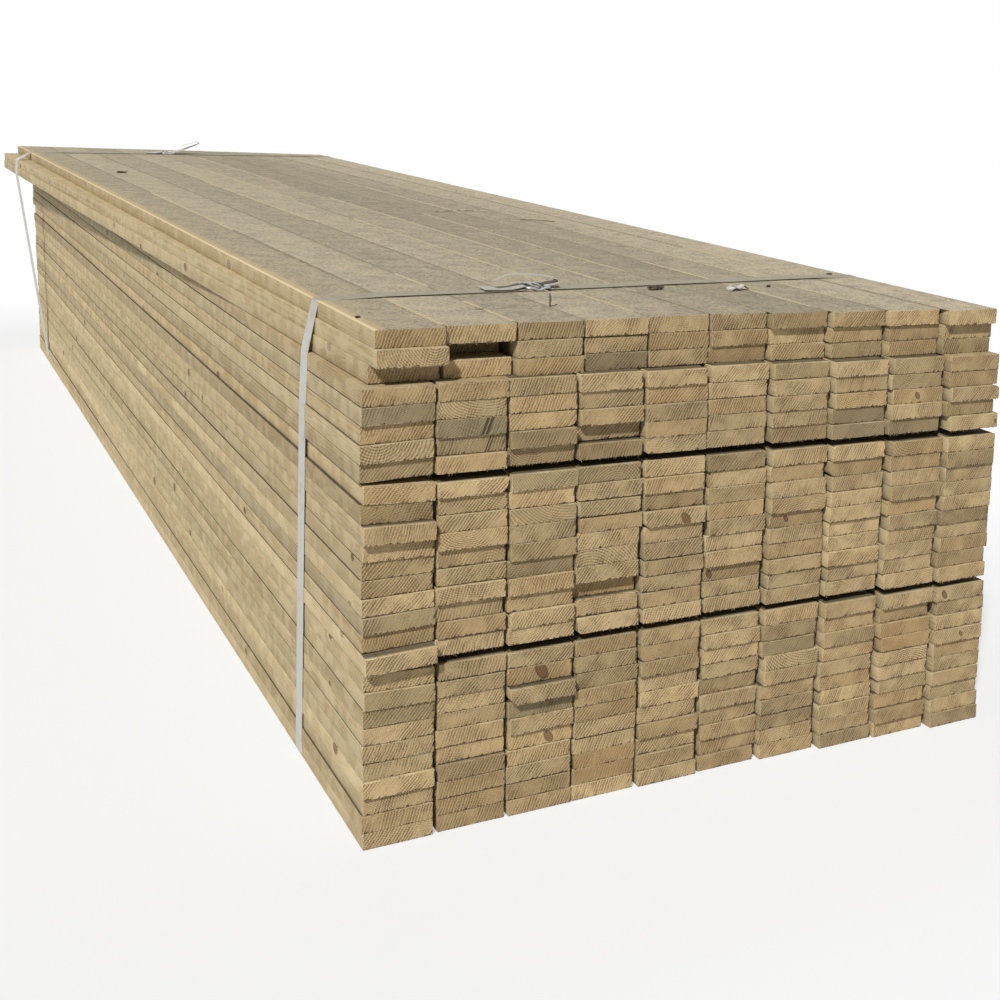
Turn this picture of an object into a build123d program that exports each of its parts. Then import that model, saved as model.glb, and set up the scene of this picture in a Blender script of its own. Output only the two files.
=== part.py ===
from build123d import *
import math
import os
import random

# A strapped bundle of rough-sawn softwood boards, in millimetres, +Z up.
# X runs across the bundle, Y along the boards from the front ends to the back ones.
# The origin is on the floor under the middle of the bundle.

# The boards
board_length = 4000.0
board_width = 100.0
board_thickness = 24.7
columns = 10
least_gap = 0.8

# The layers lie in lifts, from the top down, and each lift is level above and below.
# The three top layers are laid closer and skewed: the shifts move a lift's ends to the right.
# Each gap is wider than the one to its left, by the gap growth. The middle columns of the
# top layers stand back at the front.
lift_layers = (1, 2, 5, 10, 10)
side_gaps = (1.2, 1.5, 3.5, 3.5, 3.5)
gap_growths = (0.5, 0.4, 0.8, 0.8, 0.8)
front_shifts = (19.0, 17.0, 0.0, 2.0, 4.0)
back_shifts = (-40.0, -84.0, 0.0, 2.0, 4.0)
middle_set_backs = (18.0, 14.0, 0.0, 0.0, 0.0)
lifts_on_stickers = (3, 4)

# Thin laths between the three blocks of the bundle
sticker_thickness = 11.0
sticker_width = 22.0
sticker_count = 5
sticker_inset = 320.0
sticker_setback = 12.0

# How far the boards differ from each other
narrowest_by = 3.0
left_boards_narrower_by = 2.6
level_wander = 2.0
end_spread = 3.5
length_spread = 6.0
right_columns_creep = 8.5
creep_starts_after = 6

# Boards that stop short of the front, and boards pulled out to the front, each by its
# layer from the top and its column
short_at_front = {(2, 2): 60.0, (3, 1): 24.0, (3, 2): 16.0, (7, 4): 12.0, (8, 3): 9.0, (16, 4): 18.0}
pulled_out = {(2, 1): 6.0, (11, 1): 12.0, (18, 1): 17.0, (21, 3): 11.0, (12, 5): 8.0, (15, 6): 7.0}

# Wane, the missing arris of a board sawn near the bark: corner, width and height
wane = {
    (6, 3): ("lower right", 16.0, 9.0),
    (9, 2): ("lower right", 14.0, 16.0),
    (10, 2): ("upper right", 6.0, 4.0),
    (8, 5): ("lower left", 5.0, 7.0),
    (11, 4): ("lower right", 12.0, 6.0),
    (12, 5): ("lower left", 8.0, 8.0),
    (17, 3): ("upper left", 9.0, 5.0),
    (17, 4): ("upper left", 16.0, 9.0),
    (18, 4): ("lower left", 8.0, 8.0),
    (20, 5): ("lower left", 7.0, 9.0),
    (21, 3): ("lower left", 14.0, 11.0),
    (25, 6): ("lower right", 26.0, 6.0),
    (22, 8): ("lower right", 14.0, 5.0),
    (9, 8): ("upper left", 10.0, 7.0),
    (10, 8): ("lower left", 11.0, 12.0),
    (6, 10): ("upper right", 7.0, 15.0),
}

# The two straps and their wire buckles
strap_width = 25.0
strap_thickness = 0.8
near_strap_from_front = 335.0
far_strap_from_back = 280.0
near_strap_slopes = (0.115, -0.09)
far_strap_slopes = (0.20, -0.10)
near_buckle_from_left = 359.0
far_buckle_from_left = 389.0
wire_diameter = 4.0
buckle_length = 40.0
buckle_side_play = 3.0
buckle_corner = 5.0
tongue_spacing = 12.0
fold_play = 0.3

# The routes of the loose ends, from the middle of each buckle: along the strap and up
near_left_tail = ((-40.0, 1.6), (-84.0, 1.7))
near_right_tail = ((36.0, 8.5), (33.0, 15.0), (8.0, 21.0), (-38.0, 27.0), (-84.0, 15.0))
far_left_tail = ((-40.0, 1.6), (-70.0, 1.7))
far_right_tail = ((50.0, 13.0), (112.0, 36.0), (104.0, 42.0), (52.0, 28.0))
left_tail_bends = (12.0,)
near_tail_bends = (2.5, 7.0, 28.0, 40.0)
far_tail_bends = (16.0, 2.0, 8.0)

# Sizes that follow
widest_gap = max(side_gaps)
bundle_width = columns * (board_width + widest_gap) - widest_gap
layers = sum(lift_layers)
wire_radius = wire_diameter / 2
bar_from_middle = buckle_length / 2
fold_radius = wire_radius + fold_play
bundle_height = layers * board_thickness + len(lifts_on_stickers) * sticker_thickness


def vary(*key):
    """A steady figure between -1 and 1 that belongs to the key."""
    return random.Random(repr(key)).uniform(-1, 1)


def lift_of(layer):
    """The lift that a layer belongs to, both counted from the top."""
    top_layer = 1
    for lift, count in enumerate(lift_layers, start=1):
        if layer < top_layer + count:
            return lift
        top_layer += count


def lift_base(lift):
    """Height of a lift's underside."""
    below = sum(lift_layers[lift:]) * board_thickness
    laths = sum(1 for raised in lifts_on_stickers if raised >= lift)
    return below + laths * sticker_thickness


def level(lift, column, boards_up):
    """Height of a seam above the lift's underside: boards differ, but each lift ends level."""
    share = boards_up / lift_layers[lift - 1]
    slow = vary("slow", lift, column) * math.sin(math.pi * share)
    quick = vary("quick", lift, column) * math.sin(2 * math.pi * share)
    limit = min(1.0, lift_layers[lift - 1] / 10)
    return boards_up * board_thickness + level_wander * limit * (slow + quick / 2)


def turn_of(lift):
    """Angle of a lift seen from above, from its shifts at the two ends."""
    return math.atan2(front_shifts[lift - 1] - back_shifts[lift - 1], board_length)


class Board:
    """One board: its size, its front lower left corner and its direction."""

    def __init__(self, layer, column):
        lift = lift_of(layer)
        boards_up = sum(lift_layers[:lift]) - layer
        low = level(lift, column, boards_up)
        narrower = narrowest_by * (1 + vary("width", layer, column)) / 2
        narrower += left_boards_narrower_by * (columns - column) / (columns - 1)
        self.width = board_width - narrower
        self.thickness = level(lift, column, boards_up + 1) - low
        off_middle = (2 * column - columns - 1) / (columns - 1)
        short = short_at_front.get((layer, column), 0)
        short += middle_set_backs[lift - 1] * (1 - off_middle ** 2)
        self.length = board_length + length_spread * vary("length", layer, column) - short
        self.wane = wane.get((layer, column))
        pitch = board_width + side_gaps[lift - 1]
        own_pitch = pitch + gap_growths[lift - 1] * (column - columns / 2)
        in_slot = (own_pitch - least_gap - self.width) * (1 + vary("side", layer, column)) / 2
        growth = gap_growths[lift - 1] * (column - 1) * (column - columns) / 2
        across = (column - 1) * pitch + growth + in_slot
        creep = right_columns_creep * max(0, column - creep_starts_after)
        along = end_spread * vary("end", layer, column) - creep
        along += short - pulled_out.get((layer, column), 0)
        self.turn = turn_of(lift)
        self.x = front_shifts[lift - 1] + across * math.cos(self.turn) - along * math.sin(self.turn)
        self.y = across * math.sin(self.turn) + along * math.cos(self.turn)
        self.z = lift_base(lift) + low

    def left_at(self, y):
        """The left edge at a distance along the bundle."""
        return self.x - (y - self.y) * math.tan(self.turn)

    def right_at(self, y):
        """The right edge at a distance along the bundle."""
        return self.left_at(y) + self.width / math.cos(self.turn)

    def ends(self):
        """The four corners seen from above."""
        right = Vector(math.cos(self.turn), math.sin(self.turn))
        back = Vector(-math.sin(self.turn), math.cos(self.turn))
        corner = Vector(self.x, self.y)
        far = corner + back * self.length
        return [corner, corner + right * self.width, far, far + right * self.width]


boards = {}
for layer_number in range(1, layers + 1):
    for column_number in range(1, columns + 1):
        boards[layer_number, column_number] = Board(layer_number, column_number)

# The middle of the bundle seen from above, which goes over the origin
corners = [corner for board in boards.values() for corner in board.ends()]
middle_x = (min(corner.X for corner in corners) + max(corner.X for corner in corners)) / 2
middle_y = (min(corner.Y for corner in corners) + max(corner.Y for corner in corners)) / 2


def front_plane(board):
    """The plane of a board's front end, facing out, with its origin at the lower left."""
    right = Vector(math.cos(board.turn), math.sin(board.turn))
    front = Vector(math.sin(board.turn), -math.cos(board.turn))
    return Plane(origin=(board.x - middle_x, board.y - middle_y, board.z), x_dir=right, z_dir=front)


def cut_wane(sketch, corner, width, height):
    """Take the bark-side arris off a board's section."""
    upright, side = corner.split()
    row = sketch.vertices().group_by(Axis.Y)[0 if upright == "lower" else -1]
    vertex = row.sort_by(Axis.X)[0 if side == "left" else -1]
    chamfer(vertex, width, height)


def make_board(board):
    """One board, its section drawn on its front end and carried to its back end."""
    with BuildPart() as made:
        with BuildSketch(front_plane(board)) as section:
            Rectangle(board.width, board.thickness, align=(Align.MIN, Align.MIN))
            if board.wane:
                cut_wane(section, *board.wane)
        extrude(amount=-board.length)
    return made.part


def make_layer(layer, pressed_in=()):
    """The boards of one layer, side by side without touching, less what is pressed into them."""
    laid = [make_board(boards[layer, column]) for column in range(1, columns + 1)]
    with BuildPart() as made:
        add(laid, clean=False)
        if pressed_in:
            add(pressed_in, clean=False, mode=Mode.SUBTRACT)
    return made


def make_stickers(lift):
    """The thin laths under a raised lift, laid across the bundle."""
    spacing = (board_length - 2 * sticker_inset) / (sticker_count - 1)
    middle = (bundle_width / 2 - middle_x, board_length / 2 - middle_y)
    with BuildPart() as made:
        with BuildSketch(Plane.XY.offset(lift_base(lift) - sticker_thickness)):
            with Locations(middle):
                with GridLocations(0, spacing, 1, sticker_count):
                    Rectangle(bundle_width - 2 * sticker_setback, sticker_width)
        extrude(amount=sticker_thickness)
    return made


def turning_left(first, second, third):
    """Whether a walk through three points turns left."""
    return (second - first).cross(third - second).Z > 1e-6


def hull(points):
    """The corners that a taut band would touch round the points."""
    ordered = sorted(points, key=lambda point: (point.X, point.Y))
    outline = []
    for walk in (ordered, ordered[::-1]):
        side = []
        for point in walk:
            while len(side) > 1 and not turning_left(side[-2], side[-1], point):
                side.pop()
            side.append(point)
        outline += side[:-1]
    return outline


class Strap:
    """Where a strap goes: a plane that leans across the bundle and up it."""

    def __init__(self, along, slopes, buckle_from_left):
        self.along = along
        self.across_slope, self.up_slope = slopes
        self.buckle_x = buckle_from_left

    def y_at(self, x, z):
        """The middle of the strap at a point across and up the bundle."""
        return self.along + self.across_slope * x + self.up_slope * z

    def outline(self):
        """The taut outline of the bundle along the strap, across and up.
        The strap is pressed into the lowest boards until it is flush with their underside."""
        half = strap_width / 2 * math.hypot(1, self.across_slope, self.up_slope)
        touched = []
        for layer in range(1, layers + 1):
            left, right = boards[layer, 1], boards[layer, columns]
            for board, edge, side in ((left, left.left_at, 0), (right, right.right_at, bundle_width)):
                for z in (max(board.z, strap_thickness), board.z + board.thickness):
                    y = self.y_at(edge(self.y_at(side, z)), z)
                    touched.append(Vector(edge(y - half) - middle_x, z))
                    touched.append(Vector(edge(y + half) - middle_x, z))
        return hull(touched)

    def slab_plane(self):
        """The leaning plane of the strap."""
        on_floor = (-middle_x, self.along - middle_y, 0)
        return Plane(origin=on_floor, z_dir=(-self.across_slope, 1, -self.up_slope))

    def buckle_point(self):
        """The middle of the buckle, on the top of the bundle."""
        y = self.y_at(self.buckle_x, bundle_height)
        return (self.buckle_x - middle_x, y - middle_y, bundle_height)

    def profile_plane(self):
        """The upright plane along the strap at its buckle: along it and up."""
        along_strap = (1, self.across_slope, 0)
        facing_front = (self.across_slope, -1, 0)
        return Plane(origin=self.buckle_point(), x_dir=along_strap, z_dir=facing_front)

    def buckle_plane(self):
        """The level plane through the middle of the buckle's wire."""
        wire_height = strap_thickness + fold_radius
        middle = Vector(*self.buckle_point()) + Vector(0, 0, wire_height)
        return Plane(origin=middle, x_dir=(1, self.across_slope, 0), z_dir=(0, 0, 1))


def trace_end(side, tail, bends):
    """A loose end: from under its buckle bar, round the bar and out over the strap.
    side is -1 for the left bar and 1 for the right one."""
    bend = fold_radius + strap_thickness / 2
    under = strap_thickness / 2
    bar = side * bar_from_middle
    over = under + 2 * bend
    with BuildLine() as route:
        Line((bar * 1.5, under), (bar, under))
        ThreePointArc((bar, under), (bar - side * bend, under + bend), (bar, over))
        FilletPolyline((bar, over), *tail, radius=bends)
    for stretch in route.edges():
        trace(stretch, line_width=strap_thickness)


def make_strap(strap, left_tail, left_bends, right_tail, right_bends):
    """The band, taut round the boards, with both loose ends folded round the buckle's bars."""
    taut = [(corner.X, corner.Y) for corner in strap.outline()]
    buckle_x = strap.buckle_x - middle_x
    open_length = buckle_length / math.hypot(1, strap.across_slope)
    reach = 2 * bundle_width
    with BuildPart() as made:
        with BuildSketch(Plane.XZ.offset(middle_y - strap.along)):
            Polygon(*taut, align=None)
            offset(amount=strap_thickness, kind=Kind.INTERSECTION)
            Polygon(*taut, align=None, mode=Mode.SUBTRACT)
            with Locations((buckle_x, bundle_height)):
                Rectangle(open_length, 4 * strap_thickness, mode=Mode.SUBTRACT)
        extrude(amount=reach, both=True)
        with Locations(strap.slab_plane()):
            Box(2 * reach, 2 * reach, strap_width, mode=Mode.INTERSECT)
        with BuildSketch(strap.profile_plane()):
            trace_end(-1, left_tail, left_bends)
            trace_end(1, right_tail, right_bends)
        extrude(amount=strap_width / 2, both=True)
    return made


def make_buckle(strap):
    """A bent wire buckle: a rounded ring with two tongues across its middle."""
    plane = strap.buckle_plane()
    half_width = strap_width / 2 + buckle_side_play + wire_radius
    with BuildPart() as made:
        with BuildLine(plane) as ring:
            corner = (bar_from_middle, half_width)
            others = [(-corner[0], corner[1]), (-corner[0], -corner[1]), (corner[0], -corner[1])]
            FilletPolyline(corner, *others, radius=buckle_corner, close=True)
        with BuildSketch(Plane(origin=ring.line @ 0, z_dir=ring.line % 0)):
            Circle(wire_radius)
        sweep(path=ring.line)
        across = Plane(origin=plane.origin, x_dir=plane.x_dir, z_dir=plane.y_dir)
        with BuildSketch(across):
            with GridLocations(tongue_spacing, 0, 2, 1):
                Circle(wire_radius)
        extrude(amount=half_width, both=True)
    return made


def save(made, name):
    """Write a finished piece under its name."""
    made.part.label = name
    export_step(made.part, f"parts/{name}.step")


os.makedirs("parts", exist_ok=True)
near_route = Strap(near_strap_from_front, near_strap_slopes, near_buckle_from_left)
far_route = Strap(board_length - far_strap_from_back, far_strap_slopes, far_buckle_from_left)
near_strap = make_strap(near_route, near_left_tail, left_tail_bends, near_right_tail, near_tail_bends)
far_strap = make_strap(far_route, far_left_tail, left_tail_bends, far_right_tail, far_tail_bends)
save(near_strap, "strap_near")
save(far_strap, "strap_far")
save(make_buckle(near_route), "buckle_near")
save(make_buckle(far_route), "buckle_far")

for layer_number in range(1, layers):
    save(make_layer(layer_number), f"layer_{layer_number:02d}")
save(make_layer(layers, (near_strap.part, far_strap.part)), f"layer_{layers:02d}")
for place, raised_lift in zip(("upper", "lower"), lifts_on_stickers):
    save(make_stickers(raised_lift), f"stickers_{place}")
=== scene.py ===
# %% [markdown]
# A bundle of rough-sawn softwood boards, held by two straps with wire buckles. The
# CAD model gives the size and place of every board. Here each board gets worn
# arrises, a slight bow, growth rings, saw marks, knots, stains and dust, and the
# straps get their weave. First the imported model is loaded.

# %% Load the frame
import math
import random

import bmesh
import bpy
from mathutils import Matrix, Vector


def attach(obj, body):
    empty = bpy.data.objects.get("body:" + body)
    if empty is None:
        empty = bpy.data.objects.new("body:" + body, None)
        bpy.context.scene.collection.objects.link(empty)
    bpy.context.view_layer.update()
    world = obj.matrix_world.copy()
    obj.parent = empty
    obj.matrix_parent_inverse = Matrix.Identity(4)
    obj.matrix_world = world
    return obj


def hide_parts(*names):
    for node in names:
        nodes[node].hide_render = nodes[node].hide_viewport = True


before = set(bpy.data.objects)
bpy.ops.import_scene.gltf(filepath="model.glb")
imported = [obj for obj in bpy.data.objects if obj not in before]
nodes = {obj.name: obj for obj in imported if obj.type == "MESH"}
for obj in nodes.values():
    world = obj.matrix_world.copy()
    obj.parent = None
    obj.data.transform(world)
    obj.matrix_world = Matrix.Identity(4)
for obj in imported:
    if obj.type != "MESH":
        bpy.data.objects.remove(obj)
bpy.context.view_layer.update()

print("nodes loaded:", len(nodes))


# %% Objects and meshes
def new_object(name, data):
    """An object, put in the scene."""
    made = bpy.data.objects.new(name, data)
    bpy.context.scene.collection.objects.link(made)
    return made


def new_mesh(name, points, faces, edges=()):
    """A mesh of points and the faces or edges between them."""
    mesh = bpy.data.meshes.new(name)
    mesh.from_pydata(points, edges, faces)
    return mesh


def tube_faces(first, rings, around):
    """The faces of a closed tube: its sides, between rings of points, and a cap at each end."""
    last = first + (rings - 1) * around
    faces = []
    for here in range(first, last, around):
        for step in range(around):
            beside = (step + 1) % around
            faces.append((here + step, here + beside, here + around + beside, here + around + step))
    return [*faces, tuple(range(first + around - 1, first - 1, -1)), tuple(range(last, last + around))]


def store(mesh, name, vectors, domain="POINT"):
    """Keeps a vector on each point or face, for a material to read."""
    stored = mesh.attributes.new(name, "FLOAT_VECTOR", domain)
    stored.data.foreach_set("vector", [part for vector in vectors for part in vector])


def shown(name, mesh, slot, *stood_for):
    """Puts a finished mesh in the scene, riding on the bundle in the place of some CAD nodes."""
    piece = new_object(name, mesh)
    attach(piece, "root")
    if stood_for:
        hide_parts(*stood_for)
    return piece


# %% [markdown]
# The camera stands low at the front left corner of the bundle. Its place, turn and
# lens were found by fitting the bundle's corners to where the photograph shows them.
# The photograph is a cut-out from a wider one, so the lens is shifted as well.

# %% The camera
camera = new_object("camera", bpy.data.cameras.new("camera"))
camera.location = (-1.0003, -3.8488, 1.0372)
camera.rotation_euler = [math.radians(angle) for angle in (80.095, -3.369, -34.24)]
camera.data.sensor_width = 36
camera.data.lens = 52.586
camera.data.shift_x = -0.3578
camera.data.shift_y = -0.1437
bpy.context.scene.camera = camera
print("camera at", [round(place, 2) for place in camera.location])

# %% [markdown]
# Materials are graphs of nodes, which are long to write by hand. A few small classes
# make them read like sums. A Value wraps one output of a node, and + - * / ** on it
# add Math nodes. A Graph is any tree of nodes, and its node method adds any other node.


# %% Values
def sum_on(operation, swapped=False):
    """A method that adds a Math node on a value and any other numbers."""

    def add_node(value, *others):
        numbers = (*others, value) if swapped else (value, *others)
        return value.graph.node("ShaderNodeMath", {"operation": operation}, dict(enumerate(numbers)))

    return add_node


full_turn = 6.283


class Value:
    """One output of a node. Sums on it add Math nodes to its graph."""

    __add__ = __radd__ = sum_on("ADD")
    __sub__ = sum_on("SUBTRACT")
    __rsub__ = sum_on("SUBTRACT", swapped=True)
    __mul__ = __rmul__ = sum_on("MULTIPLY")
    __truediv__ = sum_on("DIVIDE")
    __pow__ = sum_on("POWER")
    sine = sum_on("SINE")
    cosine = sum_on("COSINE")
    size = sum_on("ABSOLUTE")
    least = sum_on("MINIMUM")
    most = sum_on("MAXIMUM")

    def __init__(self, graph, socket):
        self.graph = graph
        self.socket = socket

    def also(self, output):
        """Another output of the same node."""
        return Value(self.graph, self.socket.node.outputs[output])

    def wave(self):
        """Swings between 0 and 1, once for each whole number that the value passes."""
        return (self * full_turn).sine() * 0.5 + 0.5

    def step(self, start, end):
        """0 before start and 1 after end, with a smooth rise or fall between them."""
        low, high = sorted((start, end))
        settings = {"interpolation_type": "SMOOTHSTEP"}
        rise = self.graph.node("ShaderNodeMapRange", settings, {0: self, 1: low, 2: high})
        return rise if start < end else 1 - rise


# %% Graphs and recipes
class Graph:
    """A tree of nodes, in which one method adds any node."""

    def __init__(self, tree):
        self.tree = tree
        tree.nodes.clear()

    def node(self, kind, settings=None, inputs=None, output=0):
        """Adds a node: its settings first, then the values or links of its sockets."""
        made = self.tree.nodes.new(kind)
        for name, value in (settings or {}).items():
            setattr(made, name, value)
        for socket, value in (inputs or {}).items():
            if isinstance(value, Value):
                self.tree.links.new(value.socket, made.inputs[socket])
            else:
                made.inputs[socket].default_value = value
        return Value(self, made.outputs[output]) if made.outputs else None

    def joined(self, x, y, z):
        """A vector of three numbers."""
        return self.node("ShaderNodeCombineXYZ", None, {0: x, 1: y, 2: z})

    def seen_rays(self):
        """1 for the rays that the camera sees, straight, mirrored or through glass, and else 0."""
        seen = self.node("ShaderNodeLightPath", None, None, "Is Camera Ray")
        return seen.most(seen.also("Is Glossy Ray").most(seen.also("Is Transmission Ray")))


class Recipe(Graph):
    """One material, with the nodes that make it."""

    def __init__(self, name):
        self.material = bpy.data.materials.new(name)
        self.material.use_nodes = True
        super().__init__(self.material.node_tree)

    def vector(self, operation, first, second=(0, 0, 0), output=0):
        """A Vector Math node."""
        return self.node("ShaderNodeVectorMath", {"operation": operation}, {0: first, 1: second}, output)

    def length(self, vector):
        """How long a vector is."""
        return self.vector("LENGTH", vector, output="Value")

    def mix(self, share, first, second, blend="MIX"):
        """The first colour with a share of the second over it."""
        settings = {"data_type": "RGBA", "blend_type": blend}
        return self.node("ShaderNodeMix", settings, {0: share, 6: first, 7: second}, 2)

    def attribute(self, name):
        """An attribute that the mesh carries."""
        return self.node("ShaderNodeAttribute", {"attribute_name": name}, None, "Vector")

    def place(self):
        """Where each point of an object is."""
        return self.node("ShaderNodeTexCoord", None, None, "Object")

    def parts(self, vector):
        """The three numbers of a vector."""
        split = self.node("ShaderNodeSeparateXYZ", None, {0: vector})
        return split, split.also(1), split.also(2)

    def noise(self, place, scale, detail=2.0, roughness=0.5):
        """Soft noise between 0 and 1."""
        inputs = {"Vector": place, "Scale": scale, "Detail": detail, "Roughness": roughness}
        return self.node("ShaderNodeTexNoise", None, inputs)

    def noises(self, place, scale):
        """Three soft noises that have nothing to do with each other."""
        return self.parts(self.noise(place, scale, 1.0).also("Color"))

    def finish(self, colour, roughness, height, depth, strength, **fixed):
        """Ends the recipe in a Principled shader, with a bump from the height."""
        bump = {"Height": height, "Distance": depth, "Strength": strength}
        normal = self.node("ShaderNodeBump", None, bump)
        inputs = {"Base Color": colour, "Roughness": roughness, "Normal": normal, **fixed}
        shader = self.node("ShaderNodeBsdfPrincipled", None, inputs)
        self.node("ShaderNodeOutputMaterial", None, {"Surface": shader})
        return self.material


# %% [markdown]
# Colours are written as they look on a screen, from 0 to 255, and turned into the
# linear light that Blender works in.


# %% Colours
def linear(part):
    """One part of a screen colour in linear light."""
    return ((part / 255 + 0.055) / 1.055) ** 2.4 if part > 10 else part / 3295


def screen_colour(red, green, blue):
    """A colour as seen on a screen, in Blender's linear light."""
    return (linear(red), linear(green), linear(blue), 1.0)


print("pale wood in linear light:", [round(part, 3) for part in screen_colour(196, 172, 132)])

# %% [markdown]
# Each CAD layer is one mesh of ten loose boards. To dress them one by one, the mesh
# is copied, its doubled corners are merged, and the pieces that hang together are
# gathered. The shortest of a board's long edges runs straight along it, and from that
# direction come its length, width, thickness and any arris that the bark has rounded.

# %% Reading the boards
layer_count = 28
column_count = 10
same_place = 0.0004
least_wane = 0.002


def loose_pieces(node):
    """The loose pieces of a CAD node, each as a list of its edges."""
    copied = bmesh.new()
    copied.from_mesh(node.data)
    bmesh.ops.remove_doubles(copied, verts=copied.verts, dist=1e-6)
    seen = set()
    pieces = []
    for start in copied.verts:
        if start in seen:
            continue
        seen.add(start)
        edges = {}
        waiting = [start]
        while waiting:
            for edge in waiting.pop().link_edges:
                edges[edge] = [corner.co.copy() for corner in edge.verts]
                fresh = [corner for corner in edge.verts if corner not in seen]
                seen.update(fresh)
                waiting += fresh
        pieces.append(list(edges.values()))
    copied.free()
    return pieces


class Board:
    """One board of the bundle, as the CAD model has it."""

    def __init__(self, layer, edges):
        self.layer = layer
        runs = [end - start for start, end in edges]
        longest = max(run.length for run in runs)
        along = min((run for run in runs if run.length > 0.9 * longest), key=lambda run: run.length)
        self.back = along.normalized() * (1 if along.y > 0 else -1)
        self.right = Vector((self.back.y, -self.back.x, 0))
        corners = {tuple(self.local(point)) for edge in edges for point in edge}
        self.low = Vector(min(corner[axis] for corner in corners) for axis in range(3))
        self.high = Vector(max(corner[axis] for corner in corners) for axis in range(3))
        self.width, self.length, self.thickness = self.high - self.low
        self.wane = {}
        for side in ("left", "right"):
            for level in ("lower", "upper"):
                self.look_for_wane(corners, side, level)

    def local(self, point):
        """A point as its distances across, along and up."""
        return Vector((point.dot(self.right), point.dot(self.back), point.z))

    def place(self, across, along, up):
        """The point of the scene at some distance from the board's front lower left corner."""
        point = self.right * (self.low.x + across) + self.back * (self.low.y + along)
        point.z = self.low.z + up
        return point

    def look_for_wane(self, corners, side, level):
        """Keeps the width and height of an arris that is missing from the CAD board."""
        edge = self.low.x if side == "left" else self.high.x
        face = self.low.z if level == "lower" else self.high.z
        widths = [abs(corner[0] - edge) for corner in corners if abs(corner[2] - face) < same_place]
        heights = [abs(corner[2] - face) for corner in corners if abs(corner[0] - edge) < same_place]
        if min(widths) > least_wane:
            self.wane[side, level] = (min(widths), min(heights))


boards = []
for layer in range(1, layer_count + 1):
    row = [Board(layer, edges) for edges in loose_pieces(nodes[f"layer_{layer:02d}"])]
    row.sort(key=lambda board: board.low.x)
    for column, board in enumerate(row, start=1):
        board.column = column
        board.luck = random.Random(f"board {layer} {column}")
    boards.append(row)
all_boards = [board for row in boards for board in row]
print("boards:", len(all_boards), "with wane:", sum(1 for board in all_boards if board.wane))

# %% [markdown]
# A sawn board isn't a clean box. Its arrises are worn by a millimetre or so, and its
# faces wander a little along its length. The section is drawn as a loop of points:
# an arc at each corner, or a long flat curve where the bark side was. The loop is
# carried along the board in rings, closer together on boards whose sides are seen.

# %% The section of a board
arris_steps = 2
wane_steps = 5
face_steps = 9
side_steps = 2
worn_off = (0.0003, 0.0012)
corner_order = (("left", "lower"), ("right", "lower"), ("right", "upper"), ("left", "upper"))


def corner_points(board, side, level):
    """The points round one corner of the section, as distances across and up."""
    if (side, level) in board.wane:
        width, height = board.wane[side, level]
        steps = wane_steps
    else:
        width = height = board.luck.uniform(*worn_off)
        steps = arris_steps
    x, inward = (0, 1) if side == "left" else (board.width, -1)
    z, upward = (0, 1) if level == "lower" else (board.thickness, -1)
    points = []
    for step in range(steps + 1):
        turn = math.pi / 2 * step / steps
        points.append((x + inward * width * (1 - math.sin(turn)), z + upward * height * (1 - math.cos(turn))))
    starts_upright = (side == "left") == (level == "lower")
    return points[::-1] if starts_upright else points


def section_of(board):
    """The loop of points round the section, anticlockwise as seen from the front end."""
    corners = [corner_points(board, side, level) for side, level in corner_order]
    loop = []
    for corner, following in zip(corners, corners[1:] + corners[:1]):
        loop += corner
        (x, z), (next_x, next_z) = corner[-1], following[0]
        over, up = next_x - x, next_z - z
        steps = face_steps if abs(over) > abs(up) else side_steps
        loop += [(x + over * step / steps, z + up * step / steps) for step in range(1, steps)]
    return loop


print("points round the first board:", len(section_of(boards[0][0])))

# %% [markdown]
# Some ends stand out in the photograph. A fungus has stained some grey, as happens to
# sapwood that dries slowly, some are brown or strongly ringed, some were cut through a
# knot, and two show a pair of bark streaks. They are listed by layer and column.

# %% Ends that stand out
stained_ends = {
    (5, 1): 0.9, (6, 2): 1.0, (7, 2): 0.5, (7, 3): 0.6, (9, 3): 0.7, (9, 4): 0.6, (13, 2): 0.5,
    (11, 3): 0.5, (14, 3): 0.7, (4, 7): 0.7, (7, 8): 0.9, (8, 8): 0.8, (8, 9): 0.7, (5, 9): 0.6,
    (20, 1): 0.7, (21, 1): 0.6, (21, 7): 0.8, (21, 8): 0.6, (22, 3): 0.7, (11, 4): 0.4, (3, 4): 0.8,
    (8, 6): 0.7, (11, 6): 0.5, (3, 8): 0.4, (5, 7): 0.3, (8, 1): 0.3,
}
brown_ends = {
    (20, 3): 0.6, (21, 9): 0.7, (22, 9): 0.8, (26, 4): 0.8, (27, 4): 0.9, (8, 2): 0.5, (4, 1): 0.35,
    (8, 4): 0.5, (6, 4): 0.4, (5, 3): 0.4,
}
strongly_ringed = {
    (8, 3), (5, 2), (2, 1), (13, 2), (12, 2), (11, 3), (23, 9), (6, 8), (9, 4), (9, 9), (7, 1), (14, 4),
    (22, 7),
}
# The middle of each knot from the board's own middle, and its radius
end_knots = {
    (12, 5): (0.016, -0.004, 0.0095), (13, 7): (-0.02, 0.002, 0.006), (16, 6): (-0.04, 0.0, 0.007),
    (20, 3): (0.002, 0.003, 0.0125), (24, 3): (0.012, -0.002, 0.009), (6, 9): (-0.001, 0.0, 0.0055),
    (19, 10): (-0.034, 0.0, 0.007), (8, 10): (0.045, -0.002, 0.004), (22, 10): (0.004, 0.001, 0.005),
}
# How far the pair of bark streaks is from the board's middle, and half its width
bark_streaks = {(6, 2): (0.021, 0.0055), (7, 2): (0.024, 0.0035)}
# How far the pith lies to the side and above or below, and how wide a year's ring is
near_pith = ((-0.04, 0.04), (0.022, 0.055), (0.0034, 0.0044))
far_pith = ((-0.12, 0.12), (0.03, 0.12), (0.0024, 0.0036))
usual_contrast = 0.85
most_contrast = 1.6

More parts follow.
